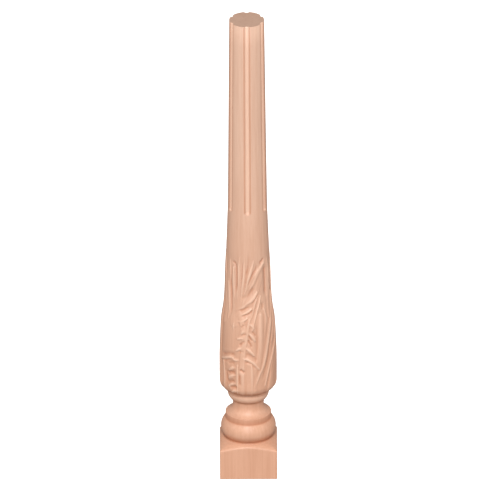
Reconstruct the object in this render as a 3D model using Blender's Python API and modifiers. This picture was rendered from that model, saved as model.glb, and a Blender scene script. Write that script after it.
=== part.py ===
"""Carved wooden baluster, turned, fluted and carved from one length of square stock.

Metres, +Z up, front towards -Y. The origin is the centre of the underside.
"""

import math

import bmesh
import bpy
import numpy as np
from mathutils import Matrix

NAME = "baluster"

# Overall sizes
HEIGHT = 0.870
STOCK = 0.100

# Square block, its top cut by the turned shoulder
BLOCK_FACE_HEIGHT = 0.0623
SHOULDER_DROP = 0.0078
SHOULDER_RISE = 0.0032

# Heights of the turned members, one on top of the other
TORUS_HEIGHT = 0.0345
FILLET_HEIGHT = 0.0100
CAVETTO_HEIGHT = 0.0210
NECK_HEIGHT = 0.0070
RING_HEIGHT = 0.0180
VASE_FOOT_HEIGHT = 0.0170
VASE_HEIGHT = 0.2670
COLLAR_HEIGHT = 0.0700

# Radii of the turned members
TORUS_FOOT_RADIUS = 0.0415
TORUS_RADIUS = 0.0479
TORUS_TOP_RADIUS = 0.0402
FILLET_RADIUS = 0.0398
CAVETTO_TOP_RADIUS = 0.0390
NECK_RADIUS = 0.0276
RING_FOOT_RADIUS = 0.0318
RING_RADIUS = 0.0351
VASE_FOOT_RADIUS = 0.0370
VASE_TOP_RADIUS = 0.0370
COLLAR_TOP_RADIUS = 0.0344
SHAFT_MIDDLE_RADIUS = 0.0328
SHAFT_TOP_RADIUS = 0.0307

# Share of the shaft's length, from its top, at which its slow swell reaches the middle radius
SHAFT_MIDDLE = 0.6

# Roundings, as the rise of an arc over half its chord
CAVETTO_HOLLOW = 0.40
RING_ROUNDING = 0.28
VASE_FOOT_ROUNDING = 0.35

# The vase above its foot: share of its height, and share of the way from its top radius to its belly
VASE_SHAPE = ((0.0, 0.99), (0.1, 1.0), (0.2, 0.99), (0.36, 0.87), (0.46, 0.74),
              (0.55, 0.46), (0.66, 0.30), (0.82, 0.20), (1.0, 0.0))

# Flutes of the shaft
FLUTE_COUNT = 6
FLUTE_WIDTH = 0.0095
FLUTE_DEPTH = 0.0030

# Carving of the vase: how deep it is cut, and the sheet that its leaves are drawn on,
# in degrees round the vase (0 at the front) and millimetres above its foot
CARVING_DEPTH = 0.0050
SHEET_HEIGHT = 284.0
SHEET_PER_DEGREE = 0.76
LEAF_TURNS = 2

# The ground between the leaves, as a share of the depth, and the shares of the vase's height
# from which it rises to the collar and down to which it falls from the foot
GROUND = 0.62
GROUND_RISE_FROM = 0.82
GROUND_FALL_TO = 0.035

# A finger's width and height along its length: it swells from its start and narrows at its tip
FINGER_START_WIDTH = 0.65
FINGER_TIP_WIDTH = 0.60
FINGER_SWELL_END = 0.6
FINGER_TAPER_FROM = 0.7
FINGER_RISE_END = 0.7
FINGER_FULLNESS = 2.5
BODY_EDGE = 5.0

# A cut fades in and out over this share of its length, and reaches this many of its widths to each side
CUT_FADE = 0.25
CUT_REACH = 2.5

# Broad parts of the leaves on the sheet: the points they run through, half width in millimetres,
# and height as a share of the carving's depth
BODIES = (
    (((-32, 132), (-33, 170), (-31, 205), (-26, 240), (-24, 262)), 12.0, 0.84),
    (((-14, 150), (-6, 190), (4, 222), (12, 250)), 11.0, 0.66),
    (((22, 200), (32, 220), (38, 240)), 9.0, 0.74),
    (((-14, 4), (-13, 60), (-10, 90), (-8, 115), (-12, 140), (-20, 160)), 8.0, 0.86),
    (((-46, 4), (-46, 66)), 15.0, 0.72),
    (((8, 4), (8, 64)), 12.0, 0.84),
    (((22, 60), (28, 100), (30, 130), (32, 156)), 8.5, 0.78),
    (((56, 4), (66, 40), (78, 84)), 14.0, 0.84),
    (((60, 150), (62, 200), (60, 256)), 8.0, 0.84),
    (((-64, 140), (-64, 180), (-63, 225), (-60, 255)), 8.0, 0.80),
    (((-90, 4), (-90, 120)), 15.0, 1.00),
    (((-88, 110), (-86, 180), (-84, 262)), 12.0, 1.00),
    (((-50, 92), (-50, 128)), 18.0, 0.74),
)

# Leaf fingers on the sheet: the points they run through, from start to tip, half width in
# millimetres, height at start and tip, and how far the crest leans to the left; the side that
# the crest leans to is steep and the other one gentle
UPPER_LEAF = (
    (((-36, 168), (-39, 195), (-42, 220), (-42, 246)), 6.0, 0.86, 1.00, -0.35),
    (((-27, 160), (-26, 200), (-23, 235), (-22, 266)), 6.0, 0.84, 1.00, 0.35),
    (((-20, 165), (-14, 200), (-9, 230), (-8, 268)), 5.6, 0.80, 1.00, 0.35),
    (((-14, 172), (-5, 200), (4, 226), (11, 244), (17, 260)), 6.4, 0.84, 1.00, 0.40),
    (((-9, 178), (3, 203), (14, 217), (24, 229), (34, 240), (45, 250)), 8.4, 0.88, 1.00, 0.45),
    (((-30, 171), (-16, 177), (-3, 184), (8, 190), (17, 197), (24, 204)), 9.0, 0.86, 1.00, -0.50),
    (((-34, 158), (-20, 160), (-8, 165), (3, 169), (12, 174)), 6.4, 0.84, 1.00, -0.45),
    (((-32, 147), (-20, 149), (-10, 152), (-2, 155)), 5.2, 0.82, 0.98, -0.45),
    (((-52, 148), (-52, 170), (-55, 192), (-58, 216)), 4.6, 0.84, 1.00, 0.0),
    (((-56, 212), (-54, 232), (-55, 258)), 5.0, 0.82, 1.00, -0.30),
    (((-66, 136), (-68, 168), (-71, 200), (-73, 230)), 5.6, 0.84, 0.98, 0.0),
)
STEM = (
    (((-8, 88), (-5, 108), (-2, 128), (3, 150)), 4.6, 0.86, 0.92, 0.0),
    (((0, 127), (7, 121), (15, 111)), 3.4, 0.86, 1.00, 0.0),
    (((-6, 100), (-2, 96), (5, 91), (12, 83)), 3.4, 0.88, 1.00, 0.0),
    (((0, 144), (7, 141), (13, 135)), 3.0, 0.84, 0.98, 0.0),
    (((-3, 130), (-9, 130), (-15, 125)), 3.2, 0.86, 1.00, 0.0),
    (((-6, 116), (-13, 116), (-23, 114)), 2.8, 0.88, 1.00, 0.0),
    (((-10, 97), (-17, 96), (-26, 91)), 3.4, 0.86, 0.98, 0.0),
    (((-34, 122), (-34, 134), (-33, 143)), 2.6, 0.70, 0.98, 0.0),
)
PIPE_AND_RIDGES = (
    (((25, 70), (28, 100), (29, 130), (31, 158)), 6.0, 0.80, 0.92, 0.0),
    (((10, 130), (15, 146), (22, 163), (29, 177), (34, 192)), 3.8, 0.84, 1.00, 0.10),
    (((4, 146), (11, 160), (18, 178), (24, 190)), 3.8, 0.74, 0.90, 0.10),
    (((14, 20), (22, 40), (30, 59), (36, 77), (42, 101), (50, 128), (59, 150), (65, 170), (70, 190)),
     4.0, 0.86, 1.00, 0.10),
    (((36, 20), (41, 38), (49, 60), (58, 76), (68, 90), (78, 100)), 4.0, 0.84, 1.00, 0.10),
    (((60, 100), (68, 118), (76, 140), (80, 170)), 4.6, 0.76, 0.96, 0.0),
    (((55, 176), (58, 205), (60, 235), (60, 262)), 5.2, 0.84, 1.00, 0.10),
    (((40, 116), (43, 134), (46, 150), (43, 166)), 3.6, 0.70, 0.86, 0.0),
)
LOWER_LEAF = (
    (((-68, 64), (-60, 69), (-50, 73), (-41, 77), (-34, 77)), 3.6, 0.96, 1.00, 0.2),
    (((-34, 77), (-29, 74), (-22, 75)), 3.2, 0.96, 1.00, 0.2),
    (((-9, 75), (0, 77), (8, 74), (15, 68), (23, 58)), 4.6, 0.96, 1.00, 0.2),
    (((8, 6), (8, 40), (7, 66)), 5.0, 0.86, 0.94, 0.0),
    (((-23, 4), (-23, 36), (-23, 62)), 2.8, 0.94, 1.00, 0.0),
    (((-27, 56), (-33, 57), (-42, 50)), 4.0, 0.80, 1.00, 0.0),
    (((-27, 42), (-34, 42), (-43, 35)), 4.0, 0.80, 1.00, 0.0),
    (((-27, 26), (-34, 26), (-43, 19)), 4.4, 0.80, 1.00, 0.0),
    (((-20, 11), (-28, 10), (-38, 2)), 4.6, 0.80, 1.00, 0.0),
    (((-58, 4), (-58, 40), (-60, 64)), 3.6, 0.84, 1.00, 0.0),
)

# Cuts of the gouge between and beside the fingers: points, width in millimetres
# and depth as a share of the carving's depth
CUTS = (
    (((-49, 256), (-39, 256), (-33, 249), (-30, 232), (-30, 212), (-33, 192)), 1.8, 0.46),
    (((25, 262), (22, 246), (13, 236), (5, 224), (-3, 206)), 1.8, 0.24),
    (((32, 256), (40, 257), (50, 262)), 2.0, 0.44),
    (((49, 250), (49, 222), (50, 190), (50, 156)), 3.0, 0.50),
    (((69, 250), (70, 225), (69, 205)), 2.4, 0.34),
    (((-50, 230), (-48, 206), (-46, 190), (-44, 172), (-44, 150)), 1.8, 0.42),
    (((28, 200), (20, 189), (10, 182), (0, 178), (-12, 172)), 1.6, 0.34),
    (((20, 70), (20, 110), (20, 146)), 1.8, 0.34),
    (((24, 26), (32, 46), (41, 72), (48, 97), (56, 124)), 1.8, 0.36),
    (((43, 26), (50, 44), (60, 62), (72, 78)), 1.8, 0.32),
    (((-70, 80), (-52, 82), (-38, 84), (-22, 82)), 3.2, 0.36),
    (((-8, 84), (4, 85), (14, 80), (22, 70)), 2.8, 0.40),
    (((-65, 14), (-65, 40), (-66, 60)), 2.4, 0.36),
    (((-28, 49), (-36, 49), (-43, 45)), 2.0, 0.40),
    (((-28, 34), (-36, 34), (-44, 29)), 2.0, 0.40),
    (((-27, 17), (-35, 17), (-43, 12)), 2.0, 0.40),
)

# Fineness of the faceted surfaces: the vase is carved finely and then reduced to a share of its triangles
SHOULDER_STEPS = 80
FOOT_STEPS = 40
VASE_STEPS = 180
VASE_ROWS = 150
VASE_KEPT = 0.110
SHAFT_ROWS = 5
CUTTER_STEPS = 16
CURVE_POINTS = 7
FINGER_STEPS = 6

# Surfaces that a join or a cut hides reach this far past their neighbour
OVERLAP = 0.010

# Heights that follow from the members
TORUS_FOOT = BLOCK_FACE_HEIGHT + SHOULDER_RISE
TORUS_TOP = TORUS_FOOT + TORUS_HEIGHT
FILLET_TOP = TORUS_TOP + FILLET_HEIGHT
NECK_FOOT = FILLET_TOP + CAVETTO_HEIGHT
NECK_TOP = NECK_FOOT + NECK_HEIGHT
RING_TOP = NECK_TOP + RING_HEIGHT
BELLY_FOOT = RING_TOP + VASE_FOOT_HEIGHT
VASE_TOP = BELLY_FOOT + VASE_HEIGHT
COLLAR_TOP = VASE_TOP + COLLAR_HEIGHT


def arc_between(first, last, bulge, points):
    """Points of a circular arc, as (radius, height), running down; it swells outwards by bulge half chords."""
    first, last = np.array(first), np.array(last)
    chord = last - first
    half = np.hypot(*chord) / 2.0
    outwards = np.array([-chord[1], chord[0]]) / (2.0 * half)
    rise = bulge * half
    radius = (half ** 2 + rise ** 2) / (2.0 * rise)
    centre = (first + last) / 2.0 + outwards * (rise - radius)
    start = math.atan2(*(first - centre)[::-1])
    end = math.atan2(*(last - centre)[::-1])
    sweep = (end - start + math.pi) % (2.0 * math.pi) - math.pi
    turns = start + sweep * np.linspace(0.0, 1.0, points)
    return [tuple(centre + abs(radius) * np.array([math.cos(turn), math.sin(turn)])) for turn in turns]


def smooth_step(low, high, value):
    """0 below low, 1 above high, and a soft rise between them."""
    share = np.clip((value - low) / (high - low), 0.0, 1.0)
    return share * share * (3.0 - 2.0 * share)


def new_object(name, mesh, collection):
    made = bpy.data.objects.new(name, mesh)
    collection.objects.link(made)
    return made


def mark_as_cutter(cutter):
    cutter.hide_render = True
    cutter.display_type = "WIRE"


def turned(name, profile, steps, collection):
    """A closed turned solid from a profile that runs down its outer side, from axis to axis."""
    mesh = bpy.data.meshes.new(name)
    points = [(radius, 0.0, height) for radius, height in profile]
    mesh.from_pydata(points, [(i, i + 1) for i in range(len(points) - 1)], [])
    made = new_object(name, mesh, collection)
    screw = made.modifiers.new("turn", "SCREW")
    screw.axis = "Z"
    screw.angle = math.tau
    screw.screw_offset = 0.0
    screw.steps = steps
    screw.render_steps = steps
    screw.use_merge_vertices = True
    screw.merge_threshold = 0.00001
    return made


def as_mesh(made):
    """The object's modifiers turned into plain mesh."""
    evaluated = made.evaluated_get(bpy.context.evaluated_depsgraph_get())
    mesh = bpy.data.meshes.new_from_object(evaluated)
    made.modifiers.clear()
    made.data = mesh
    return made


def join(made, other, operation):
    boolean = made.modifiers.new(other.name, "BOOLEAN")
    boolean.operation = operation
    boolean.solver = "EXACT"
    boolean.object = other


def foot_profile():
    """The turned foot, from the top of the ring down into the block."""
    torus_chord_radius = (TORUS_TOP_RADIUS + TORUS_FOOT_RADIUS) / 2.0
    torus_bulge = (TORUS_RADIUS - torus_chord_radius) / (TORUS_HEIGHT / 2.0)
    profile = [(0.0, RING_TOP)]
    profile += arc_between((RING_RADIUS, RING_TOP), (RING_FOOT_RADIUS, NECK_TOP), RING_ROUNDING, CURVE_POINTS)
    profile += [(NECK_RADIUS, NECK_TOP)]
    profile += arc_between((NECK_RADIUS, NECK_FOOT), (CAVETTO_TOP_RADIUS, FILLET_TOP), -CAVETTO_HOLLOW,
                           CURVE_POINTS)
    profile += [(FILLET_RADIUS, FILLET_TOP), (FILLET_RADIUS, TORUS_TOP)]
    profile += arc_between((TORUS_TOP_RADIUS, TORUS_TOP), (TORUS_FOOT_RADIUS, TORUS_FOOT), torus_bulge,
                           CURVE_POINTS)
    profile += [(TORUS_FOOT_RADIUS, TORUS_FOOT - OVERLAP), (0.0, TORUS_FOOT - OVERLAP)]
    return profile


def vase_radius(height):
    """The vase's outer radius over its belly and its long hollow side."""
    share = (height - BELLY_FOOT) / VASE_HEIGHT
    shares, fullness = zip(*VASE_SHAPE)
    return VASE_TOP_RADIUS + (STOCK / 2.0 - VASE_TOP_RADIUS) * float(np.interp(share, shares, fullness))


def upper_profile():
    """The shaft, collar and vase, from the top down into the ring."""
    profile = [(0.0, HEIGHT)]
    for row in range(SHAFT_ROWS + 1):
        share = row / SHAFT_ROWS
        radius = np.interp(share, (0.0, SHAFT_MIDDLE, 1.0),
                           (SHAFT_TOP_RADIUS, SHAFT_MIDDLE_RADIUS, COLLAR_TOP_RADIUS))
        profile.append((radius, HEIGHT + (COLLAR_TOP - HEIGHT) * share))
    for row in range(VASE_ROWS + 1):
        height = VASE_TOP + (BELLY_FOOT - VASE_TOP) * row / VASE_ROWS
        profile.append((vase_radius(height), height))
    belly_foot_radius = vase_radius(BELLY_FOOT)
    profile += arc_between((belly_foot_radius, BELLY_FOOT), (VASE_FOOT_RADIUS, RING_TOP), VASE_FOOT_ROUNDING,
                           CURVE_POINTS - 2)[1:]
    profile += [(VASE_FOOT_RADIUS - CARVING_DEPTH, RING_TOP - OVERLAP / 2.0), (0.0, RING_TOP - OVERLAP / 2.0)]
    return profile


def route_through(points):
    """A smooth route on the sheet, in millimetres, through a finger's points."""
    known = np.array([(angle * SHEET_PER_DEGREE, level) for angle, level in points])
    known = np.vstack([2.0 * known[0] - known[1], known, 2.0 * known[-1] - known[-2]])
    route = []
    for first in range(len(known) - 3):
        before, here, there, after = known[first:first + 4]
        for share in np.arange(FINGER_STEPS) / FINGER_STEPS:
            route.append(here + 0.5 * share * (there - before + share * (
                2.0 * before - 5.0 * here + 4.0 * there - after + share * (
                    3.0 * (here - there) + after - before))))
    return np.array(route + [known[-2]])


def beside_route(across, up, points, turn):
    """Share of the way along a route and signed distance from it, positive to its left."""
    route = route_through(points) + (turn * SHEET_PER_DEGREE, 0.0)
    distance = np.full(across.shape, np.inf)
    along = np.zeros(across.shape)
    left = np.ones(across.shape)
    for number, (here, there) in enumerate(zip(route[:-1], route[1:])):
        step = there - here
        share = np.clip(((across - here[0]) * step[0] + (up - here[1]) * step[1]) / (step @ step), 0.0, 1.0)
        off_x = across - here[0] - share * step[0]
        off_y = up - here[1] - share * step[1]
        away = np.hypot(off_x, off_y)
        closer = away < distance
        distance = np.where(closer, away, distance)
        along = np.where(closer, (number + share) / (len(route) - 1), along)
        left = np.where(closer, np.sign(step[0] * off_y - step[1] * off_x), left)
    return along, left * distance


def body_height(across, up, body, turn):
    """The height of one broad part of a leaf, as a share of the carving's depth."""
    points, half_width, level = body
    _, offset = beside_route(across, up, points, turn)
    return level * smooth_step(half_width, half_width - BODY_EDGE, np.abs(offset))


def finger_height(across, up, finger, turn):
    """The height of one leaf finger, steep to the side that its crest leans to and gentle to the other."""
    points, half_width, low, high, lean = finger
    along, offset = beside_route(across, up, points, turn)
    swell = FINGER_START_WIDTH + (1.0 - FINGER_START_WIDTH) * smooth_step(0.0, FINGER_SWELL_END, along)
    taper = 1.0 - (1.0 - FINGER_TIP_WIDTH) * smooth_step(FINGER_TAPER_FROM, 1.0, along)
    beside = offset / (half_width * swell * taper)
    on_left = beside > lean
    from_crest = np.where(on_left, (beside - lean) / (1.0 - lean), (lean - beside) / (1.0 + lean))
    steep = np.sqrt(np.clip(1.0 - from_crest ** FINGER_FULLNESS, 0.0, 1.0))
    gentle = np.clip(1.0 - from_crest ** 2, 0.0, 1.0)
    level = low + (high - low) * smooth_step(0.0, FINGER_RISE_END, along)
    if lean == 0.0:
        return level * steep
    return level * np.where(on_left == (lean > 0.0), steep, gentle)


def cut_depth(across, up, cut, turn):
    """The depth of one narrow cut, as a share of the carving's depth."""
    points, width, depth = cut
    along, offset = beside_route(across, up, points, turn)
    fade = smooth_step(0.0, CUT_FADE, along) * smooth_step(1.0, 1.0 - CUT_FADE, along)
    within = np.abs(offset) < CUT_REACH * width
    return np.where(within, depth * fade * np.exp(-(offset / width) ** 2), 0.0)


def carve_vase(upper):
    """Cuts the leaves into the vase: each vertex sinks to the ground between them or to a leaf's height."""
    corners = np.array([vertex.co for vertex in upper.data.vertices])
    radius = np.hypot(corners[:, 0], corners[:, 1])
    share = (corners[:, 2] - RING_TOP) / (VASE_TOP - RING_TOP)
    across = np.degrees(np.arctan2(corners[:, 0], -corners[:, 1])) * SHEET_PER_DEGREE
    up = share * SHEET_HEIGHT
    turns = [360.0 / LEAF_TURNS * copy for copy in range(-1, LEAF_TURNS + 1)]
    plain = np.maximum(smooth_step(GROUND_RISE_FROM, 1.0, share), smooth_step(GROUND_FALL_TO, 0.0, share))
    relief = GROUND + (1.0 - GROUND) * plain
    for turn in turns:
        for body in BODIES:
            relief = np.maximum(relief, body_height(across, up, body, turn))
        for finger in UPPER_LEAF + STEM + PIPE_AND_RIDGES + LOWER_LEAF:
            relief = np.maximum(relief, finger_height(across, up, finger, turn))
    for turn in turns:
        for cut in CUTS:
            relief = relief - cut_depth(across, up, cut, turn)
    sunk = CARVING_DEPTH * np.clip(1.0 - relief, 0.0, 1.0)
    carved = (share >= 0.0) & (share < 1.0) & (radius > NECK_RADIUS)
    for index in np.flatnonzero(carved):
        upper.data.vertices[index].co.x *= 1.0 - sunk[index] / radius[index]
        upper.data.vertices[index].co.y *= 1.0 - sunk[index] / radius[index]


def block_object(parts, cutters):
    """The square block, with its top cut by the turned shoulder."""
    mesh = bpy.data.meshes.new("block")
    shape = bmesh.new()
    bmesh.ops.create_cube(shape, size=1.0)
    top = TORUS_FOOT + OVERLAP
    bmesh.ops.scale(shape, vec=(STOCK, STOCK, top), verts=shape.verts)
    bmesh.ops.translate(shape, vec=(0.0, 0.0, top / 2.0), verts=shape.verts)
    shape.to_mesh(mesh)
    shape.free()
    block = new_object(NAME, mesh, parts)
    corner_radius = STOCK / math.sqrt(2.0)
    slope = SHOULDER_DROP / (corner_radius - STOCK / 2.0)
    outer = corner_radius + OVERLAP
    profile = [
        (0.0, TORUS_FOOT),
        (TORUS_FOOT_RADIUS, TORUS_FOOT),
        (STOCK / 2.0, BLOCK_FACE_HEIGHT),
        (outer, BLOCK_FACE_HEIGHT - slope * (outer - STOCK / 2.0)),
        (outer, -OVERLAP),
        (0.0, -OVERLAP),
    ]
    shoulder = turned("turned_shoulder", profile, SHOULDER_STEPS, cutters)
    mark_as_cutter(shoulder)
    join(block, shoulder, "INTERSECT")
    return block


def flute_cutters(cutters):
    """Round-bottomed cutters with a round lower end, leaning in with the shaft's taper."""
    cutter_radius = ((FLUTE_WIDTH / 2.0) ** 2 + FLUTE_DEPTH ** 2) / (2.0 * FLUTE_DEPTH)
    proud = cutter_radius - FLUTE_DEPTH
    length = HEIGHT - COLLAR_TOP
    lean = math.atan2(COLLAR_TOP_RADIUS - SHAFT_TOP_RADIUS, length)
    profile = [(0.0, length + OVERLAP), (cutter_radius, length + OVERLAP)]
    for step in range(CURVE_POINTS):
        turn = math.pi / 2.0 * step / (CURVE_POINTS - 1)
        profile.append((cutter_radius * math.cos(turn), -cutter_radius * math.sin(turn)))
    made = []
    for number in range(FLUTE_COUNT):
        cutter = turned(f"flute_cutter_{number + 1}", profile, CUTTER_STEPS, cutters)
        place = Matrix.Rotation(math.tau * number / FLUTE_COUNT, 4, "Z")
        place @= Matrix.Translation((0.0, -(COLLAR_TOP_RADIUS + proud), COLLAR_TOP))
        place @= Matrix.Rotation(-lean, 4, "X")
        cutter.matrix_world = place
        mark_as_cutter(cutter)
        made.append(cutter)
    return made


def wood():
    """Pale pinkish wood, sanded and unvarnished."""
    material = bpy.data.materials.new("pale_wood")
    material.use_nodes = True
    shader = material.node_tree.nodes["Principled BSDF"]
    shader.inputs["Base Color"].default_value = (0.72, 0.42, 0.28, 1.0)
    shader.inputs["Roughness"].default_value = 0.55
    shader.inputs["Metallic"].default_value = 0.0
    return material


def main():
    for old in list(bpy.data.objects):
        bpy.data.objects.remove(old)
    parts = bpy.data.collections.new(NAME)
    cutters = bpy.data.collections.new("cutters")
    bpy.context.scene.collection.children.link(parts)
    bpy.context.scene.collection.children.link(cutters)

    baluster = block_object(parts, cutters)
    foot = turned("turned_foot", foot_profile(), FOOT_STEPS, cutters)
    upper = as_mesh(turned("vase_and_shaft", upper_profile(), VASE_STEPS, cutters))
    carve_vase(upper)
    reduce_faces = upper.modifiers.new("reduce_faces", "DECIMATE")
    reduce_faces.ratio = VASE_KEPT
    as_mesh(upper)
    for piece in (foot, upper):
        mark_as_cutter(piece)
        join(baluster, piece, "UNION")
    for cutter in flute_cutters(cutters):
        join(baluster, cutter, "DIFFERENCE")
    baluster.data.materials.append(wood())


main()
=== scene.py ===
"""Carved wooden baluster: its fine carved surface, its wood and a plain studio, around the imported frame."""

import math

import bpy
import numpy as np
from mathutils import Matrix, Vector


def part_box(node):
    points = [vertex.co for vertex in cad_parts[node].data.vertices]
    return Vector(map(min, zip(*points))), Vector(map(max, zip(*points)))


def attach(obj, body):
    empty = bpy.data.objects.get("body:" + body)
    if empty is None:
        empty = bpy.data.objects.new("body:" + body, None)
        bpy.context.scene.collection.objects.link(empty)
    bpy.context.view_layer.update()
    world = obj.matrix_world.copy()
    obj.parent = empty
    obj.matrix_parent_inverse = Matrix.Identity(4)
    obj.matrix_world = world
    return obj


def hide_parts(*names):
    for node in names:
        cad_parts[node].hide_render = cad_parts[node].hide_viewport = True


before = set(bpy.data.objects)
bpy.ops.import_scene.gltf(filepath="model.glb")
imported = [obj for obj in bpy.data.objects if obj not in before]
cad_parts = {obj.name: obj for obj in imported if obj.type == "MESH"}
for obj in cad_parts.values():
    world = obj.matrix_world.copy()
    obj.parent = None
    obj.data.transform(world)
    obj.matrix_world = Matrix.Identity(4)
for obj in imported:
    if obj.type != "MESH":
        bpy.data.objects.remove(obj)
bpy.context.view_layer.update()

NODE = "baluster"

# The stock's width and the whole height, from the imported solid
LOWEST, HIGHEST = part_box(NODE)
STOCK = 2.0 * HIGHEST.x
HEIGHT = HIGHEST.z - LOWEST.z

# Square block, its top cut by the turned shoulder
BLOCK_FACE_HEIGHT = 0.0623
SHOULDER_DROP = 0.0078
SHOULDER_RISE = 0.0032

# The small rounding of the block's edges, and the strip beside them that keeps its faces flat
BLOCK_EASING = 0.0018
ARCH_EASING = 0.0034
UNDERSIDE_EASING = 0.0005
FACE_MARGIN = 0.0015

# Rounding of the arched edge: how far inwards and how far below the edge, as shares of its easing
ARCH_ROUNDING = ((0.0, 1.0), (0.08, 0.56), (0.28, 0.22), (0.60, 0.02))

# Heights of the turned members, one on top of the other
TORUS_HEIGHT = 0.0345
FILLET_HEIGHT = 0.0100
CAVETTO_HEIGHT = 0.0210
NECK_HEIGHT = 0.0070
RING_HEIGHT = 0.0180
VASE_FOOT_HEIGHT = 0.0170
VASE_HEIGHT = 0.2670
COLLAR_HEIGHT = 0.0700

# Radii of the turned members
TORUS_FOOT_RADIUS = 0.0415
TORUS_RADIUS = 0.0479
TORUS_TOP_RADIUS = 0.0402
FILLET_RADIUS = 0.0398
CAVETTO_TOP_RADIUS = 0.0390
NECK_RADIUS = 0.0276
RING_FOOT_RADIUS = 0.0318
RING_RADIUS = 0.0351
VASE_FOOT_RADIUS = 0.0370
VASE_TOP_RADIUS = 0.0370
COLLAR_TOP_RADIUS = 0.0344
SHAFT_MIDDLE_RADIUS = 0.0328
SHAFT_TOP_RADIUS = 0.0307

# Height of the shaft's middle radius, as a share of the way up the shaft
SHAFT_MIDDLE = 0.4

# Wear of the turned corners: how far it reaches, the turn from which a corner counts as sharp,
# and the most that it takes of the sides beside the corner, as a share of their length
TURNED_EASING = 0.0004
SHARP_TURN = math.radians(25.0)
EASING_SHARE = 0.4

# Small rises that keep the steps between the members from lying level
STEP_RISE = 0.0002
RING_STEP_RISE = 0.0003

# Roundings, as the rise of an arc over half its chord
CAVETTO_HOLLOW = 0.40
RING_ROUNDING = 0.28
VASE_FOOT_ROUNDING = 0.35

# The vase above its foot: share of its height, and share of the way from its top radius to its belly
VASE_SHAPE = ((0.0, 0.99), (0.1, 1.0), (0.2, 0.99), (0.36, 0.87), (0.46, 0.74),
              (0.55, 0.46), (0.66, 0.30), (0.82, 0.20), (1.0, 0.0))

# Flutes of the shaft
FLUTE_COUNT = 6
FLUTE_WIDTH = 0.0095
FLUTE_DEPTH = 0.0030
FLUTE_EASING = 0.0004

# Angle from one flute to the next, and radius of the round-nosed cutter that makes them
FLUTE_PITCH = math.tau / FLUTE_COUNT
FLUTE_CUTTER = ((FLUTE_WIDTH / 2.0) ** 2 + FLUTE_DEPTH ** 2) / (2.0 * FLUTE_DEPTH)

# Where the cutter doesn't reach, its cut counts as lying this far outside the shaft
CLEAR_OF_CUTTER = 4.0 * FLUTE_EASING

# Painted shading across a flute: distance from its middle in half widths, and the painted shading there;
# here and below, above 0 is painted shade, darker as in a crease, and below 0 is a painted highlight, paler
# as on a crest
FLUTE_PAINTED_SHADING = ((0.0, -0.28), (0.52, -0.22), (0.64, 0.0), (0.84, 0.12),
                  (1.0, 0.36), (1.12, 0.34), (1.5, 0.0))

# Carving of the vase: how deep it is cut, and the sheet that its leaves are drawn on, in degrees round
# the vase (0 at the front) and millimetres above its foot; then the millimetres that a degree takes
# across the sheet, and how often the leaves repeat round the vase
CARVING_DEPTH = 0.0050
SHEET_HEIGHT = 284.0
SHEET_PER_DEGREE = 0.76
LEAF_TURNS = 2

# Ground between the leaves: its height as a share of the carving's depth, and the shares of the vase's
# height between which it lies so low; beyond them it rises to the plain surface
GROUND = 0.62
GROUND_RISE_FROM = 0.82
GROUND_FALL_TO = 0.035

# Shape of a finger: shares of its width at its ends, shares of its length where it stops swelling,
# starts to taper and reaches its height, and the fullness of its steep side
FINGER_START_WIDTH = 0.65
FINGER_TIP_WIDTH = 0.60
FINGER_SWELL_END = 0.6
FINGER_TAPER_FROM = 0.7
FINGER_RISE_END = 0.7
FINGER_FULLNESS = 2.5

# Soft edge of a body in millimetres, the widths that a cut is felt over, and the share of its
# length that it fades over at each end
BODY_EDGE = 5.0
CUT_REACH = 2.5
CUT_FADE = 0.25

# Blur of the relief, in columns and rows: a slight one for the surface, and a wide one that the
# relief is held against to find its creases and crests
SURFACE_BLUR = (0.6, 0.6)
CREASE_BLUR = (5.0, 4.5)
# Strength and limits of the painted shade in the carving's creases and the painted highlight on its crests
PAINTED_SHADING_STRENGTH = 1.2
PALEST_PAINTED_HIGHLIGHT = -1.0
DARKEST_PAINTED_SHADE = 0.30

# Fineness of the surface: points round the axis, and how far a flute's columns run past its width
VASE_COLUMNS = 360
FOOT_COLUMNS = 160
LAND_COLUMNS = 12
FLUTE_COLUMNS = 26
FLUTE_MARGIN = 1.12
FACE_POINTS = 26
EASING_POINTS = 4

# Fineness of the surface: rows up the axis, and points of the profile's arcs and curves
VASE_ROWS = 222
VASE_FOOT_ROWS = 16
COLLAR_ROWS = 8
FLUTE_END_ROWS = 16
SHAFT_ROWS = 10
TORUS_POINTS = 18
CAVETTO_POINTS = 12
RING_POINTS = 14
VASE_FOOT_POINTS = 24
VASE_SIDE_STEPS = 8
FINGER_STEPS = 6

# Heights that follow from the members
TORUS_FOOT = BLOCK_FACE_HEIGHT + SHOULDER_RISE
TORUS_TOP = TORUS_FOOT + TORUS_HEIGHT
FILLET_TOP = TORUS_TOP + FILLET_HEIGHT
NECK_FOOT = FILLET_TOP + CAVETTO_HEIGHT
NECK_TOP = NECK_FOOT + NECK_HEIGHT
RING_TOP = NECK_TOP + RING_HEIGHT
BELLY_FOOT = RING_TOP + VASE_FOOT_HEIGHT
VASE_TOP = BELLY_FOOT + VASE_HEIGHT
COLLAR_TOP = VASE_TOP + COLLAR_HEIGHT
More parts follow.
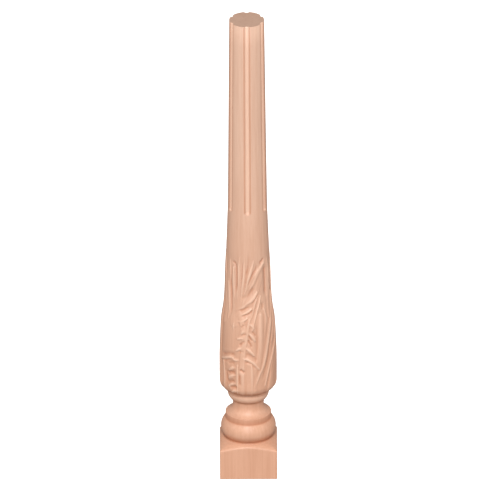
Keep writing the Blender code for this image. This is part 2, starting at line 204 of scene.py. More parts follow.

# Painted shading up the turned foot: heights, and the painted shading there; painted shade under the torus,
# on the fillet and in the corners under the ring and the vase, painted highlights on the torus, the cavetto's
# foot and the ring
FOOT_PAINTED_SHADING = (
    (TORUS_FOOT, 0.60),
    (TORUS_FOOT + 0.0040, 0.42),
    (TORUS_FOOT + 0.0100, 0.22),
    (TORUS_FOOT + 0.0160, 0.0),
    (TORUS_TOP - 0.0080, -0.05),
    (TORUS_TOP - 0.0025, -0.04),
    (TORUS_TOP, 0.36),
    (FILLET_TOP - 0.0005, 0.32),
    (FILLET_TOP + 0.0002, -0.08),
    (FILLET_TOP + 0.0060, -0.10),
    (FILLET_TOP + 0.0140, 0.0),
    (NECK_TOP - 0.0050, 0.10),
    (NECK_TOP, 0.50),
    (NECK_TOP + 0.0030, 0.0),
    (NECK_TOP + 0.0070, -0.16),
    (RING_TOP - 0.0060, -0.16),
    (RING_TOP - 0.0020, 0.20),
    (RING_TOP, 0.60),
    (RING_TOP + 0.0035, 0.50),
    (RING_TOP + 0.0095, 0.0),
)

# Broad parts of the leaves on the sheet: the points they run through, half width in millimetres,
# and height as a share of the carving's depth
BODIES = (
    (((-34, 142), (-33, 170), (-31, 205), (-26, 240), (-24, 262)), 12.0, 0.80),
    (((-14, 150), (-6, 190), (4, 222), (12, 250)), 11.0, 0.66),
    (((22, 200), (32, 220), (38, 240)), 9.0, 0.74),
    (((-14, 4), (-13, 60), (-10, 90), (-8, 115), (-12, 140), (-20, 160)), 8.0, 0.86),
    (((-46, 4), (-46, 66)), 15.0, 0.72),
    (((8, 4), (8, 64)), 12.0, 0.76),
    (((22, 60), (28, 100), (30, 130), (32, 156)), 8.5, 0.78),
    (((56, 4), (66, 40), (78, 84)), 14.0, 0.90),
    (((60, 150), (62, 200), (60, 256)), 8.0, 0.84),
    (((-64, 140), (-64, 180), (-63, 225), (-60, 255)), 8.0, 0.80),
    (((-90, 4), (-90, 120)), 15.0, 1.00),
    (((-88, 110), (-86, 180), (-84, 262)), 12.0, 1.00),
    (((-50, 92), (-50, 128), (-46, 160)), 18.0, 0.70),
)

# Leaf fingers on the sheet: the points they run through, from start to tip, half width in
# millimetres, height at start and tip, and how far the crest leans to the left; the side that
# the crest leans to is steep and the other one gentle
UPPER_LEAF = (
    (((-36, 168), (-39, 195), (-42, 220), (-42, 246)), 6.0, 0.86, 1.00, -0.35),
    (((-27, 160), (-26, 200), (-23, 235), (-22, 266)), 6.0, 0.84, 1.00, 0.35),
    (((-20, 165), (-14, 200), (-9, 230), (-8, 268)), 5.6, 0.80, 1.00, 0.35),
    (((-14, 172), (-5, 200), (4, 226), (11, 244), (17, 260)), 6.4, 0.84, 1.00, 0.40),
    (((-9, 178), (3, 203), (14, 217), (24, 229), (34, 240), (45, 250)), 10.0, 0.88, 1.00, 0.55),
    (((-28, 171), (-16, 176), (-4, 182), (6, 188), (14, 194), (20, 200)), 9.0, 0.88, 1.00, -0.60),
    (((-28, 158), (-18, 160), (-8, 164), (1, 168), (8, 171)), 4.8, 0.88, 1.00, -0.50),
    (((-28, 147), (-20, 148), (-11, 151), (-3, 154)), 4.4, 0.86, 1.00, -0.50),
    (((-52, 148), (-52, 170), (-55, 192), (-58, 216)), 4.6, 0.84, 1.00, 0.0),
    (((-56, 212), (-54, 232), (-55, 258)), 5.0, 0.82, 1.00, -0.30),
    (((-66, 136), (-68, 168), (-71, 200), (-73, 230)), 5.6, 0.84, 0.98, 0.0),
)
STEM = (
    (((-8, 88), (-5, 108), (-2, 128), (3, 150)), 4.6, 0.86, 0.92, 0.0),
    (((0, 127), (7, 121), (15, 111)), 3.4, 0.86, 1.00, 0.0),
    (((-6, 100), (-2, 96), (5, 91), (12, 83)), 3.4, 0.88, 1.00, 0.0),
    (((0, 144), (7, 141), (13, 135)), 3.0, 0.84, 0.98, 0.0),
    (((-3, 130), (-9, 130), (-15, 125)), 3.2, 0.86, 1.00, 0.0),
    (((-6, 116), (-13, 116), (-23, 114)), 2.8, 0.88, 1.00, 0.0),
    (((-10, 97), (-17, 96), (-26, 91)), 3.4, 0.86, 0.98, 0.0),
    (((-34, 122), (-34, 134), (-33, 143)), 2.6, 0.70, 0.98, 0.0),
)
PIPE_AND_RIDGES = (
    (((25, 70), (28, 100), (29, 130), (31, 158)), 6.0, 0.80, 0.92, 0.0),
    (((10, 130), (15, 146), (22, 163), (29, 177), (34, 192)), 3.8, 0.84, 1.00, 0.10),
    (((4, 146), (11, 160), (18, 178), (24, 190)), 3.8, 0.74, 0.90, 0.10),
    (((14, 20), (24, 42), (33, 58), (40, 76), (47, 100), (55, 124), (63, 145), (70, 164), (78, 190)),
     5.8, 0.86, 1.00, 0.10),
    (((38, 20), (44, 38), (53, 60), (62, 76), (71, 90), (80, 102)), 4.2, 0.84, 1.00, 0.10),
    (((60, 100), (68, 118), (76, 140), (80, 170)), 4.6, 0.76, 0.96, 0.0),
    (((66, 176), (68, 205), (66, 235), (60, 262)), 4.8, 0.84, 1.00, 0.10),
    (((40, 116), (43, 134), (46, 150), (43, 166)), 3.6, 0.70, 0.86, 0.0),
)
LOWER_LEAF = (
    (((-68, 67), (-60, 70), (-50, 74), (-41, 77), (-34, 77)), 4.6, 1.00, 1.00, -0.5),
    (((-34, 76), (-29, 74), (-22, 74)), 4.0, 1.00, 1.00, -0.5),
    (((-8, 78), (-1, 77), (6, 74), (13, 69), (18, 64), (24, 57)), 5.4, 1.00, 1.00, -0.5),
    (((8, 6), (8, 40), (7, 66)), 5.0, 0.86, 0.94, 0.0),
    (((-23, 4), (-23, 36), (-23, 62)), 2.8, 0.94, 1.00, 0.0),
    (((-27, 56), (-33, 57), (-42, 50)), 4.0, 0.80, 1.00, 0.0),
    (((-27, 42), (-34, 42), (-43, 35)), 4.0, 0.80, 1.00, 0.0),
    (((-27, 26), (-34, 26), (-43, 19)), 4.4, 0.80, 1.00, 0.0),
    (((-20, 12), (-28, 11), (-38, 5)), 5.4, 0.90, 1.00, -0.3),
    (((-58, 4), (-58, 40), (-60, 64)), 3.6, 0.84, 1.00, 0.0),
)

# Cuts of the gouge between and beside the fingers: points, width in millimetres
# and depth as a share of the carving's depth
CUTS = (
    (((-49, 256), (-39, 256), (-33, 249), (-30, 232), (-30, 212), (-33, 192)), 2.2, 0.56),
    (((2, 276), (2, 262), (-1, 246), (-5, 232)), 1.5, 0.22),
    (((-15, 262), (-15, 240), (-17, 220)), 1.7, 0.14),
    (((25, 262), (22, 246), (13, 236), (5, 224), (-3, 206)), 1.8, 0.24),
    (((32, 255), (40, 257), (50, 263)), 2.4, 0.56),
    (((22, 239), (12, 224), (0, 206), (-6, 196)), 2.2, 0.22),
    (((-18, 188), (-8, 192), (2, 198), (10, 205), (18, 214)), 4.4, 0.30),
    (((-26, 166), (-14, 168), (-4, 172), (4, 176)), 1.8, 0.24),
    (((50, 252), (53, 232), (53, 208), (52, 184)), 5.6, 0.56),
    (((69, 250), (70, 225), (69, 205)), 2.4, 0.34),
    (((-50, 230), (-48, 206), (-46, 190), (-44, 172), (-44, 150)), 1.8, 0.42),
    (((28, 200), (20, 189), (10, 182), (0, 178), (-12, 172)), 1.6, 0.34),
    (((14, 171), (6, 163), (-6, 159), (-18, 156)), 1.5, 0.26),
    (((-18, 56), (-13, 53), (-7, 49)), 2.4, 0.50),
    (((-18, 48), (-18, 34), (-17, 22)), 1.6, 0.36),
    (((20, 70), (20, 110), (20, 146)), 1.8, 0.18),
    (((28, 26), (37, 46), (47, 72), (55, 97), (63, 124)), 2.6, 0.26),
    (((48, 30), (58, 48), (67, 64), (77, 80)), 2.4, 0.12),
    (((1, 20), (0, 44), (1, 68)), 2.4, 0.14),
    (((14, 10), (14, 30), (15, 50)), 2.4, 0.12),
    (((-72, 73), (-60, 77), (-48, 81), (-36, 83), (-24, 81)), 3.2, 0.30),
    (((-9, 86), (0, 85), (9, 81), (16, 76), (22, 69)), 3.0, 0.18),
    (((-8, 71), (0, 70), (7, 67), (13, 62), (19, 56)), 1.7, 0.24),
    (((-62, 63), (-52, 66), (-43, 70), (-34, 70)), 1.7, 0.22),
    (((-65, 14), (-65, 40), (-66, 60)), 2.4, 0.36),
    (((-50, 14), (-50, 44)), 2.4, 0.26),
    (((-29, 66), (-37, 66), (-47, 62)), 3.0, 0.30),
    (((-27, 48), (-38, 47), (-50, 44)), 3.2, 0.46),
    (((-28, 30), (-38, 29), (-50, 24)), 3.8, 0.44),
    (((-22, 18), (-31, 19), (-42, 17)), 2.8, 0.50),
    (((-50, 50), (-50, 40), (-48, 26)), 2.2, 0.30),
    (((-6, 141), (-12, 139), (-16, 133)), 1.4, 0.34),
    (((-3, 125), (-9, 123), (-15, 121)), 1.4, 0.38),
    (((-7, 112), (-13, 106), (-20, 101)), 1.6, 0.40),
    (((-8, 91), (-14, 90), (-20, 88)), 1.4, 0.20),
    (((0, 114), (2, 109), (4, 105)), 1.3, 0.36),
    (((4, 108), (6, 103), (8, 98)), 1.3, 0.36),
    (((1, 123), (5, 116), (9, 109)), 1.3, 0.30),
    (((8, 130), (13, 125), (18, 118)), 1.5, 0.32),
    (((36, 165), (40, 172), (38, 180)), 2.6, 0.28),
    (((-36, 176), (-36, 190)), 1.4, 0.10),
    (((-29, 176), (-30, 190)), 1.4, 0.10),
)

# Colours of the wood: its light and dark grain at the foot and at the top, its pores, and the painted
# highlight on crests and painted shade in creases
LIGHT_BELOW = (0.69, 0.390, 0.260, 1.0)
LIGHT_ABOVE = (0.655, 0.450, 0.345, 1.0)
DARK_BELOW = (0.57, 0.290, 0.180, 1.0)
DARK_ABOVE = (0.545, 0.340, 0.245, 1.0)
PORE = (0.50, 0.230, 0.140, 1.0)
PAINTED_CREST_HIGHLIGHT = (0.80, 0.560, 0.430, 1.0)
PAINTED_CREASE_SHADE = (0.42, 0.150, 0.070, 1.0)

# Soft round lights of the studio: place, breadth, power and colour, all turned to one point
WHITE = (1.0, 1.0, 1.0)
WARM = (1.0, 0.80, 0.66)
LIGHTS = {
    "key": ((-0.2, -3.97, 4.07), 1.1, 168.0, WHITE),
    "front": ((0.1, -3.5, 1.1), 1.4, 40.0, WHITE),
    "left": ((-3.1, -1.6, 1.7), 1.8, 36.0, WARM),
    "right": ((3.1, -1.6, 1.7), 1.8, 35.0, WARM),
}
LIT_POINT = Vector((0.0, 0.0, 0.4))

# Light from all round, and half the side of the pale floor
ROOM_COLOUR = (1.0, 0.93, 0.88, 1.0)
ROOM_STRENGTH = 0.34
FLOOR_HALF = 20.0

# The photograph's frame: the camera's height angle and roll, how far off it stands, the width that
# it sees, and where its middle falls on the baluster
CAMERA_TILT = math.radians(26.5)
CAMERA_ROLL = math.radians(-0.25)
CAMERA_DISTANCE = 4.0
FRAME_WIDTH = 0.871
AIM = Vector((0.0041, 0.0, 0.4215))


def smooth_step(low, high, value):
    """0 below low, 1 above high, and a soft rise between them."""
    share = np.clip((value - low) / (high - low), 0.0, 1.0)
    return share * share * (3.0 - 2.0 * share)


def curve_through(points, steps):
    """A smooth route through a few points."""
    known = np.array(points, float)
    known = np.vstack([2.0 * known[0] - known[1], known, 2.0 * known[-1] - known[-2]])
    route = []
    for first in range(len(known) - 3):
        before, here, there, after = known[first:first + 4]
        bend = 2.0 * before - 5.0 * here + 4.0 * there - after
        twist = 3.0 * (here - there) + after - before
        for share in np.arange(steps) / steps:
            route.append(here + 0.5 * share * (there - before + share * (bend + share * twist)))
    return np.array(route + [known[-2]])


def arc_between(first, last, bulge, points):
    """Points of an arc, as (radius, height), running up; it swells outwards by bulge half chords."""
    first, last = np.array(first), np.array(last)
    chord = last - first
    half = np.hypot(*chord) / 2.0
    outwards = np.array([chord[1], -chord[0]]) / (2.0 * half)
    rise = bulge * half
    radius = (half ** 2 + rise ** 2) / (2.0 * rise)
    centre = (first + last) / 2.0 + outwards * (rise - radius)
    start = math.atan2(*(first - centre)[::-1])
    end = math.atan2(*(last - centre)[::-1])
    sweep = (end - start + math.pi) % (2.0 * math.pi) - math.pi
    turns = start + sweep * np.linspace(0.0, 1.0, points)
    return [(centre[0] + abs(radius) * math.cos(turn), centre[1] + abs(radius) * math.sin(turn))
            for turn in turns]


def eased(profile, easing):
    """The profile with each sharp corner worn round by a small amount."""
    points = [np.array(point) for point in profile]
    worn = [points[0]]
    for before, here, after in zip(points[:-2], points[1:-1], points[2:]):
        back, on = before - here, after - here
        back_length, on_length = np.hypot(*back), np.hypot(*on)
        turn = math.acos(np.clip(-(back @ on) / (back_length * on_length), -1.0, 1.0))
        if turn < SHARP_TURN:
            worn.append(here)
            continue
        reach = min(easing, back_length * EASING_SHARE, on_length * EASING_SHARE)
        start, end = here + back / back_length * reach, here + on / on_length * reach
        for share in (0.0, 0.5, 1.0):
            worn.append((1.0 - share) ** 2 * start + 2.0 * share * (1.0 - share) * here + share ** 2 * end)
    return worn + [points[-1]]


def even_angles(columns):
    """Evenly spaced angles round the axis, 0 at the front."""
    return np.radians(np.arange(columns) * 360.0 / columns)


def ring(angles, radii, heights, painted_shade_and_highlight=0.0):
    """Points round the axis, 0 degrees at the front: x, y, z and the painted shading there, painted shade
    above 0 and a painted highlight below 0.
    """
    radii = np.broadcast_to(radii, angles.shape)
    return np.stack([
        radii * np.sin(angles),
        -radii * np.cos(angles),
        np.broadcast_to(heights, angles.shape),
        np.broadcast_to(painted_shade_and_highlight, angles.shape),
    ], axis=1)


def shoulder_height(radii):
    """Height of the block's cut top at each distance from the axis."""
    slope = SHOULDER_DROP / (STOCK / math.sqrt(2.0) - STOCK / 2.0)
    return BLOCK_FACE_HEIGHT - slope * (radii - STOCK / 2.0)


def block_outline():
    """The square outline of the block with worn corners, as angles round the axis and radii."""
    half = STOCK / 2.0
    inner = half - BLOCK_EASING
    outline = []
    for side in range(4):
        turn = Matrix.Rotation(side * math.pi / 2.0, 2)
        for bend in np.linspace(-math.pi / 2.0, 0.0, EASING_POINTS):
            corner = (-inner + BLOCK_EASING * math.sin(bend), -inner - BLOCK_EASING * math.cos(bend))
            outline.append(turn @ Vector(corner))
        for place in np.linspace(-inner, inner, FACE_POINTS)[1:-1]:
            outline.append(turn @ Vector((place, -half)))
    across, along = np.array(outline).T
    angles = np.arctan2(across, -along) % math.tau
    order = np.argsort(angles)
    return angles[order], np.hypot(across, along)[order]


def block_rings():
    """The square block, from the underside up to the arched edge of the shoulder."""
    angles, radii = block_outline()
    edge = shoulder_height(radii)
    rings = [
        ring(angles, radii - UNDERSIDE_EASING, 0.0),
        ring(angles, radii, UNDERSIDE_EASING),
        ring(angles, radii, UNDERSIDE_EASING + FACE_MARGIN),
        ring(angles, radii, edge - ARCH_EASING - FACE_MARGIN),
    ]
    for inwards, below in ARCH_ROUNDING:
        rings.append(ring(angles, radii - ARCH_EASING * inwards, edge - ARCH_EASING * below))
    rings.append(ring(angles, radii - ARCH_EASING, shoulder_height(radii - ARCH_EASING)))
    return rings


def foot_profile():
    """The turned foot, from the torus's foot up to the top of the ring."""
    torus_chord_radius = (TORUS_TOP_RADIUS + TORUS_FOOT_RADIUS) / 2.0
    torus_bulge = (TORUS_RADIUS - torus_chord_radius) / (TORUS_HEIGHT / 2.0)
    torus_foot = (TORUS_FOOT_RADIUS, TORUS_FOOT)
    cavetto_foot = (CAVETTO_TOP_RADIUS, FILLET_TOP + STEP_RISE)
    ring_foot = (RING_FOOT_RADIUS, NECK_TOP + RING_STEP_RISE)
    profile = arc_between(torus_foot, (TORUS_TOP_RADIUS, TORUS_TOP), torus_bulge, TORUS_POINTS)
    profile += [(FILLET_RADIUS, TORUS_TOP + STEP_RISE), (FILLET_RADIUS, FILLET_TOP)]
    profile += arc_between(cavetto_foot, (NECK_RADIUS, NECK_FOOT), -CAVETTO_HOLLOW, CAVETTO_POINTS)
    profile += [(NECK_RADIUS, NECK_TOP)]
    profile += arc_between(ring_foot, (RING_RADIUS, RING_TOP), RING_ROUNDING, RING_POINTS)
    return profile


def foot_painted_shading(heights):
    """Painted shading up the turned foot: painted shade above 0, a painted highlight below 0."""
    known_heights, darkness = zip(*FOOT_PAINTED_SHADING)
    return np.interp(heights, known_heights, darkness)


def foot_rings():
    """The cut top of the block and the turned foot on it."""
    angles = even_angles(FOOT_COLUMNS)
    rings = []
    for radius in (STOCK / 2.0 - 2.0 * BLOCK_EASING, (STOCK / 2.0 + TORUS_FOOT_RADIUS) / 2.0):
        rings.append(ring(angles, radius, float(shoulder_height(radius))))
    for radius, height in eased(foot_profile(), TURNED_EASING):
        rings.append(ring(angles, radius, height, foot_painted_shading(height)))
    return rings


def radius_above_foot(share):
    """The vase's outer radius at a share of the way from its foot's arc to its top."""
    shares, fullness = curve_through(VASE_SHAPE, VASE_SIDE_STEPS).T
    swelling = np.interp(share, shares, np.minimum(fullness, 1.0))
    return VASE_TOP_RADIUS + (STOCK / 2.0 - VASE_TOP_RADIUS) * swelling


def vase_foot(points):
    """The arc of the vase's foot, from the ring up to the belly."""
    belly = (radius_above_foot(0.0), BELLY_FOOT)
    return arc_between((VASE_FOOT_RADIUS, RING_TOP), belly, VASE_FOOT_ROUNDING, points)


def vase_radii(heights):
    """The vase's outer radius at each height, over its foot, its belly and its long concave side."""
    foot_radii, foot_heights = zip(*vase_foot(VASE_FOOT_POINTS))
    below = np.interp(heights, foot_heights, foot_radii)
    above = radius_above_foot((heights - BELLY_FOOT) / VASE_HEIGHT)
    return np.where(heights < BELLY_FOOT, below, above)


def stroke_distance(across, up, route):
    """Share of the way along a route and signed distance from it, positive to its left."""
    distance = np.full(across.shape, np.inf)
    along = np.zeros(across.shape)
    left = np.ones(across.shape)
    for number, (here, there) in enumerate(zip(route[:-1], route[1:])):
        step = there - here
        share = np.clip(((across - here[0]) * step[0] + (up - here[1]) * step[1]) / (step @ step), 0.0, 1.0)
        off_x = across - here[0] - share * step[0]
        off_y = up - here[1] - share * step[1]
        away = np.hypot(off_x, off_y)
        closer = away < distance
        distance = np.where(closer, away, distance)
        along = np.where(closer, (number + share) / (len(route) - 1), along)
        left = np.where(closer, np.sign(step[0] * off_y - step[1] * off_x), left)
    return along, left * distance


def strokes_near(across, up, points, reach):
    """For each copy of a stroke round the vase: which points it may touch, and where they lie beside it."""
    drawn = curve_through(points, FINGER_STEPS) * (SHEET_PER_DEGREE, 1.0)
    for copy in range(-LEAF_TURNS, LEAF_TURNS + 1):
        route = drawn + (360.0 / LEAF_TURNS * copy * SHEET_PER_DEGREE, 0.0)
        low, high = route.min(axis=0) - reach, route.max(axis=0) + reach
        touched = (across > low[0]) & (across < high[0]) & (up > low[1]) & (up < high[1])
        if touched.any():
            yield touched, *stroke_distance(across[touched], up[touched], route)


def raise_finger(relief, across, up, finger):
    """Raises a finger of a leaf, with a crest that may lean to one side."""
    points, half_width, low, high, lean = finger
    for touched, along, offset in strokes_near(across, up, points, half_width):
        swell = FINGER_START_WIDTH + (1.0 - FINGER_START_WIDTH) * smooth_step(0.0, FINGER_SWELL_END, along)
        taper = 1.0 - (1.0 - FINGER_TIP_WIDTH) * smooth_step(FINGER_TAPER_FROM, 1.0, along)
        beside = offset / (half_width * swell * taper)
        on_left = beside > lean
        from_crest = np.where(on_left, (beside - lean) / (1.0 - lean), (lean - beside) / (1.0 + lean))
        steep = np.sqrt(np.clip(1.0 - from_crest ** FINGER_FULLNESS, 0.0, 1.0))
        gentle = np.clip(1.0 - from_crest ** 2, 0.0, 1.0)
        level = low + (high - low) * smooth_step(0.0, FINGER_RISE_END, along)
        dome = level * np.where(on_left == (lean > 0.0), steep, gentle) if lean else level * steep
        relief[touched] = np.maximum(relief[touched], dome)


def raise_body(relief, across, up, body):
    """Raises a broad, flat part of a leaf with soft edges."""
    points, half_width, level = body
    for touched, _, offset in strokes_near(across, up, points, half_width):
        rise = level * smooth_step(half_width, half_width - BODY_EDGE, np.abs(offset))
        relief[touched] = np.maximum(relief[touched], rise)


def cut_between(relief, across, up, cut):
    """Cuts a round-bottomed groove that fades out at both ends."""
    points, width, depth = cut
    for touched, along, offset in strokes_near(across, up, points, CUT_REACH * width):
        fade = smooth_step(0.0, CUT_FADE, along) * smooth_step(1.0, 1.0 - CUT_FADE, along)
        relief[touched] -= depth * fade * np.exp(-(offset / width) ** 2)


def softened(field, columns, rows):
    """A field over the vase, blurred by a number of columns and rows; it runs on round the vase."""
    rows_round = np.concatenate([field, field[::-1]])
    wave_rows = np.fft.fftfreq(rows_round.shape[0])[:, None]
    wave_columns = np.fft.fftfreq(field.shape[1])[None, :]
    pass_low = np.exp(-2.0 * math.pi ** 2 * ((wave_rows * rows) ** 2 + (wave_columns * columns) ** 2))
    return np.fft.ifft2(np.fft.fft2(rows_round) * pass_low).real[:field.shape[0]]


def vase_relief(angles, heights):
    """Height of the carving over its deepest cut, as a share of its depth, for each row and column."""
    share = (heights - RING_TOP) / (VASE_TOP - RING_TOP)
    up, across = np.meshgrid(share * SHEET_HEIGHT, np.degrees(angles) * SHEET_PER_DEGREE, indexing="ij")
    plain_above = smooth_step(GROUND_RISE_FROM, 1.0, share)
    plain_below = smooth_step(GROUND_FALL_TO, 0.0, share)
    plain = np.maximum(plain_above, plain_below)
    relief = np.ones(up.shape) * (GROUND + (1.0 - GROUND) * plain)[:, None]
    for body in BODIES:
        raise_body(relief, across, up, body)
    for finger in UPPER_LEAF + STEM + PIPE_AND_RIDGES + LOWER_LEAF:
        raise_finger(relief, across, up, finger)
    for cut in CUTS:
        cut_between(relief, across, up, cut)
    return softened(relief, *SURFACE_BLUR)


def vase_rings():
    """The carved vase, with painted shade where the carving lies below what is round it, and a painted
    highlight where above.
    """
    foot_heights = [height for _, height in vase_foot(VASE_FOOT_ROWS)[:-1]]
    heights = np.append(foot_heights, np.linspace(BELLY_FOOT, VASE_TOP, VASE_ROWS - VASE_FOOT_ROWS))
    angles = even_angles(VASE_COLUMNS)
    relief = vase_relief(angles, heights)
    radii = vase_radii(heights)[:, None] - CARVING_DEPTH * np.maximum(1.0 - relief, 0.0)
    # Painted shade in the carving's creases and a painted highlight on its crests, with the foot's painted
    # shading added
    painted_shade_and_highlight = PAINTED_SHADING_STRENGTH * (softened(relief, *CREASE_BLUR) - relief)
    painted_shade_and_highlight = np.clip(painted_shade_and_highlight, PALEST_PAINTED_HIGHLIGHT, DARKEST_PAINTED_SHADE) + foot_painted_shading(heights)[:, None]
    return [ring(angles, *row) for row in zip(radii, heights, painted_shade_and_highlight)]


def shaft_radius(height):
    """The shaft's radius between the flutes."""
    share = (height - COLLAR_TOP) / (HEIGHT - COLLAR_TOP)
    radii = (COLLAR_TOP_RADIUS, SHAFT_MIDDLE_RADIUS, SHAFT_TOP_RADIUS)
    return float(np.interp(share, (0.0, SHAFT_MIDDLE, 1.0), radii))


def from_flute(angles):
    """The angle from the middle of the nearest flute."""
    return (angles + FLUTE_PITCH / 2.0) % FLUTE_PITCH - FLUTE_PITCH / 2.0


def fluted_radii(angles, height):
    """The shaft's radius round the axis where the round-nosed cutter has been, with eased rims."""
    shaft = shaft_radius(height)
    below = max(COLLAR_TOP - height, 0.0)
    if below >= FLUTE_CUTTER:
        return np.full(angles.shape, shaft)
    reach = math.sqrt(FLUTE_CUTTER ** 2 - below ** 2)
    off = from_flute(angles)
    centre = shaft + FLUTE_CUTTER - FLUTE_DEPTH
    under = np.clip(reach ** 2 - (centre * np.sin(off)) ** 2, 0.0, None)
    cut = np.where(under > 0.0, centre * np.cos(off) - np.sqrt(under), shaft + CLEAR_OF_CUTTER)
    gap = np.clip(0.5 + 0.5 * (cut - shaft) / FLUTE_EASING, 0.0, 1.0)
    return cut + (shaft - cut) * gap - FLUTE_EASING * gap * (1.0 - gap)


def flute_painted_shading(angles, height):
    """Painted shading round the shaft, painted shade at the flutes' rims and a painted highlight along their
    middles; it fades out over the flutes' round lower ends.
    """
    beside = np.abs(from_flute(angles)) * shaft_radius(height) / (FLUTE_WIDTH / 2.0)
    places, darkness = zip(*FLUTE_PAINTED_SHADING)
    fade = np.clip(1.0 - (COLLAR_TOP - height) / (FLUTE_WIDTH / 2.0), 0.0, 1.0)
    return fade * np.interp(beside, places, darkness)


def shaft_angles():
    """Angles round the shaft, closer together across each flute than on the lands between."""
    flute = math.asin(FLUTE_WIDTH / 2.0 / SHAFT_TOP_RADIUS) * FLUTE_MARGIN
    one = np.concatenate([
        np.linspace(-flute, flute, FLUTE_COLUMNS, endpoint=False),
        np.linspace(flute, FLUTE_PITCH - flute, LAND_COLUMNS, endpoint=False),
    ])
    return np.concatenate([one + FLUTE_PITCH * number for number in range(FLUTE_COUNT)])


def shaft_rings():
    """The plain collar and the fluted shaft, up to the square cut of its top."""
    angles = shaft_angles()
    heights = np.concatenate([
        np.linspace(VASE_TOP, COLLAR_TOP - FLUTE_CUTTER, COLLAR_ROWS)[1:-1],
        COLLAR_TOP - FLUTE_CUTTER * np.cos(np.linspace(0.0, math.pi / 2.0, FLUTE_END_ROWS)),
        np.linspace(COLLAR_TOP, HEIGHT - TURNED_EASING, SHAFT_ROWS)[1:],
    ])
    swells = np.interp(heights, (VASE_TOP, COLLAR_TOP), (VASE_TOP_RADIUS - COLLAR_TOP_RADIUS, 0.0))
    rings = []
    for height, swell in zip(heights, swells):
        radii = fluted_radii(angles, height) + swell
        # Painted shade at the flutes' rims and a painted highlight along their middles
        rings.append(ring(angles, radii, height, flute_painted_shading(angles, height)))
    rings.append(ring(angles, fluted_radii(angles, HEIGHT) - TURNED_EASING, HEIGHT))
    return rings


def rolled(points):
    """The ring started at its point nearest to 0 degrees, and its angles, so that rings join in step."""
    angles = np.arctan2(points[:, 0], -points[:, 1])
    first = int(np.argmin(np.abs(angles)))
    return np.roll(points, -first, axis=0), np.unwrap(np.roll(angles, -first))


def stitch(faces, lower, upper, lower_angles, upper_angles):
    """Joins two rings of points by faces; rings with unlike points are joined by triangles."""
    count = len(lower)
    if count == len(upper):
        for here in range(count):
            there = (here + 1) % count
            faces.append((lower[here], lower[there], upper[there], upper[here]))
        return
    low, high = 0, 0
    lower_turns = np.append(lower_angles, lower_angles[0] + math.tau)
    upper_turns = np.append(upper_angles, upper_angles[0] + math.tau)
    while low < len(lower) or high < len(upper):
        lower_left = low < len(lower)
        take_lower = high == len(upper) or (lower_left and lower_turns[low + 1] <= upper_turns[high + 1])
        here, there = lower[low % len(lower)], upper[high % len(upper)]
        if take_lower:
            low += 1
            faces.append((here, lower[low % len(lower)], there))
        else:
            high += 1
            faces.append((here, upper[high % len(upper)], there))


def skin_over(rings):
    """A closed skin over rings stacked from below: its points, its faces and the painted shading at each
    point.
    """
    points, faces, painted_shade_and_highlight = [], [], []
    below = None
    for circle in rings:
        circle, angles = rolled(circle)
        numbers = list(range(len(points), len(points) + len(circle)))
        points += [tuple(point[:3]) for point in circle]
        painted_shade_and_highlight += list(circle[:, 3])
        if below is None:
            faces.append(tuple(reversed(numbers)))
        else:
            stitch(faces, below[0], numbers, below[1], angles)
        below = (numbers, angles)
    faces.append(tuple(below[0]))
    return points, faces, painted_shade_and_highlight


def in_scene(name, data):
    """A new object with this data, put in the scene."""
    made = bpy.data.objects.new(name, data)
    bpy.context.scene.collection.objects.link(made)
    return made


def baluster_surface():
    """One closed mesh of the whole baluster, shaded smooth except for its two flat ends."""
    rings = block_rings() + foot_rings() + vase_rings() + shaft_rings()
    points, faces, painted_shade_and_highlight = skin_over(rings)
    mesh = bpy.data.meshes.new("baluster_wood")
    mesh.from_pydata(points, [], faces)
    mesh.attributes.new("painted_shade_and_highlight", "FLOAT", "POINT").data.foreach_set("value", np.array(painted_shade_and_highlight, np.float32))
    mesh.shade_smooth()
    mesh.validate()
    for face in mesh.polygons:
        if len(face.vertices) > 4:
            face.use_smooth = False
    return in_scene("baluster_wood", mesh)


class Flow:
    """A socket of a finish's nodes that takes part in arithmetic."""

    def __init__(self, finish, socket):
        self.finish = finish
        self.socket = socket

    def math(self, operation, *values):
        return self.finish.node("ShaderNodeMath", {"operation": operation}, dict(enumerate(values)))

    def __add__(self, other):
        return self.math("ADD", self, other)

    def __radd__(self, other):
        return self.math("ADD", other, self)

    def __sub__(self, other):
        return self.math("SUBTRACT", self, other)

    def __rsub__(self, other):
        return self.math("SUBTRACT", other, self)

    def __mul__(self, other):
        return self.math("MULTIPLY", self, other)

    def __rmul__(self, other):
        return self.math("MULTIPLY", other, self)

    def between(self, low, high):
        """0 below low and 1 above high, with a soft rise."""
        settings = {"interpolation_type": "SMOOTHSTEP"}
        values = {"Value": self, "From Min": low, "From Max": high}
        return self.finish.node("ShaderNodeMapRange", settings, values)


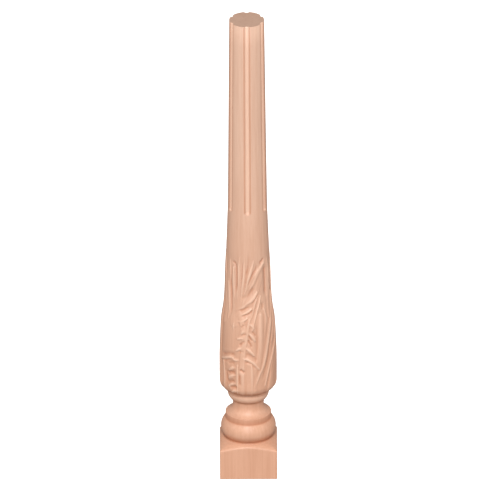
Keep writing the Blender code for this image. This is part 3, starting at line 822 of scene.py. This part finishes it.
class Finish:
    """A material made of nodes."""

    def __init__(self, name):
        self.material = bpy.data.materials.new(name)
        self.material.use_nodes = True
        self.tree = self.material.node_tree

    def feed(self, socket, value):
        """Links a flow to a socket, or sets the socket to a plain value."""
        if isinstance(value, Flow):
            self.tree.links.new(value.socket, socket)
        else:
            socket.default_value = value

    def node(self, kind, settings, values, output=0):
        """A new node: its settings are set first, then its sockets are given values or links."""
        made = self.tree.nodes.new(kind)
        for name, value in settings.items():
            setattr(made, name, value)
        for name, value in values.items():
            self.feed(made.inputs[name], value)
        return Flow(self, made.outputs[output])

    def stretched(self, place, across, along):
        """The place in the wood, scaled across and along the grain."""
        values = {0: place, 1: (across, across, along)}
        return self.node("ShaderNodeVectorMath", {"operation": "MULTIPLY"}, values)

    def noise(self, place, scale, detail, roughness=0.5):
        """Cloudy noise, from 0 to 1."""
        values = {"Vector": place, "Scale": scale, "Detail": detail, "Roughness": roughness}
        return self.node("ShaderNodeTexNoise", {}, values)

    def mixed(self, share, first, second):
        """One colour turned into another by a share."""
        return self.node("ShaderNodeMix", {"data_type": "RGBA"}, {0: share, 6: first, 7: second}, 2)

    def shaded(self, values):
        """The material, with its shader's sockets given values or links."""
        shader = self.tree.nodes["Principled BSDF"]
        for name, value in values.items():
            self.feed(shader.inputs[name], value)
        return self.material


def pale_wood():
    """Sanded, unvarnished wood with a fine straight grain, with painted shade in creases and a painted
    highlight on crests.
    """
    finish = Finish("pale_wood")
    place = finish.node("ShaderNodeTexCoord", {}, {}, "Object")
    height = finish.node("ShaderNodeSeparateXYZ", {}, {0: place}, "Z")
    painted_shade_and_highlight = finish.node("ShaderNodeAttribute", {"attribute_name": "painted_shade_and_highlight"}, {}, "Fac")

    streaks = finish.noise(finish.stretched(place, 1.0, 0.035), scale=260.0, detail=5.0, roughness=0.6)
    broad = finish.noise(finish.stretched(place, 1.0, 0.12), scale=38.0, detail=3.0)
    pores = finish.noise(finish.stretched(place, 1.0, 0.05), scale=1400.0, detail=2.0)

    paleness = height.between(-0.15, 0.75)
    light = finish.mixed(paleness, LIGHT_BELOW, LIGHT_ABOVE)
    dark = finish.mixed(paleness, DARK_BELOW, DARK_ABOVE)
    wood = finish.mixed(streaks.between(0.32, 0.68) * 0.40 + broad.between(0.3, 0.7) * 0.32, light, dark)
    wood = finish.mixed(pores.between(0.60, 0.72) * 0.25, wood, PORE)
    # Painted highlight on crests and painted shade in creases and inner corners
    wood = finish.mixed((0.0 - painted_shade_and_highlight).between(0.02, 0.22) * 0.55, wood, PAINTED_CREST_HIGHLIGHT)
    wood = finish.mixed(painted_shade_and_highlight.between(0.02, 0.50) * 0.75, wood, PAINTED_CREASE_SHADE)

    relief = streaks * 0.7 + pores * 0.3
    bump = finish.node("ShaderNodeBump", {}, {"Strength": 0.15, "Distance": 0.0004, "Height": relief})
    return finish.shaded({
        "Base Color": wood,
        "Roughness": 0.40 + streaks * 0.10,
        "Specular IOR Level": 0.55,
        "Normal": bump,
    })


def studio_paper():
    """Plain white paper that gives off light, so that it looks white all over."""
    return Finish("studio_paper").shaded({
        "Base Color": (0.93, 0.93, 0.93, 1.0),
        "Roughness": 0.9,
        "Specular IOR Level": 0.1,
        "Emission Color": (1.0, 1.0, 1.0, 1.0),
        "Emission Strength": 1.0,
    })


def pale_floor():
    """The floor; it lends no light to the baluster."""
    side = FLOOR_HALF
    mesh = bpy.data.meshes.new("floor")
    corners = [(-side, -side, 0.0), (side, -side, 0.0), (side, side, 0.0), (-side, side, 0.0)]
    mesh.from_pydata(corners, [], [(0, 1, 2, 3)])
    mesh.materials.append(studio_paper())
    floor = in_scene("floor", mesh)
    floor.visible_diffuse = False
    floor.visible_glossy = False
    return floor


def soft_light(name, place, size, power, colour):
    """A round light that faces the lit point."""
    light = bpy.data.lights.new(name, "AREA")
    light.color = colour
    light.shape = "DISK"
    light.size = size
    light.energy = power
    lamp = in_scene(name, light)
    lamp.location = place
    lamp.rotation_euler = (LIT_POINT - Vector(place)).to_track_quat("-Z", "Y").to_euler()


def studio():
    """The room's light and the soft lights."""
    world = bpy.data.worlds.new("studio")
    world.use_nodes = True
    background = world.node_tree.nodes["Background"]
    background.inputs["Color"].default_value = ROOM_COLOUR
    background.inputs["Strength"].default_value = ROOM_STRENGTH
    bpy.context.scene.world = world
    for name, light in LIGHTS.items():
        soft_light(name, *light)
    bpy.context.scene.view_settings.view_transform = "Standard"


def photograph_camera():
    """The photograph's camera stood so far off that its rays are parallel."""
    camera = bpy.data.cameras.new("camera")
    camera.type = "ORTHO"
    camera.ortho_scale = FRAME_WIDTH
    eye = in_scene("camera", camera)
    back = Vector((0.0, -math.cos(CAMERA_TILT), math.sin(CAMERA_TILT)))
    turn = Matrix.Rotation(math.pi / 2.0 - CAMERA_TILT, 4, "X") @ Matrix.Rotation(CAMERA_ROLL, 4, "Z")
    eye.matrix_world = Matrix.Translation(AIM + back * CAMERA_DISTANCE) @ turn
    bpy.context.scene.camera = eye


def main():
    baluster = baluster_surface()
    baluster.data.materials.append(pale_wood())
    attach(baluster, "root")
    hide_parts(NODE)
    pale_floor()
    studio()
    photograph_camera()


main()
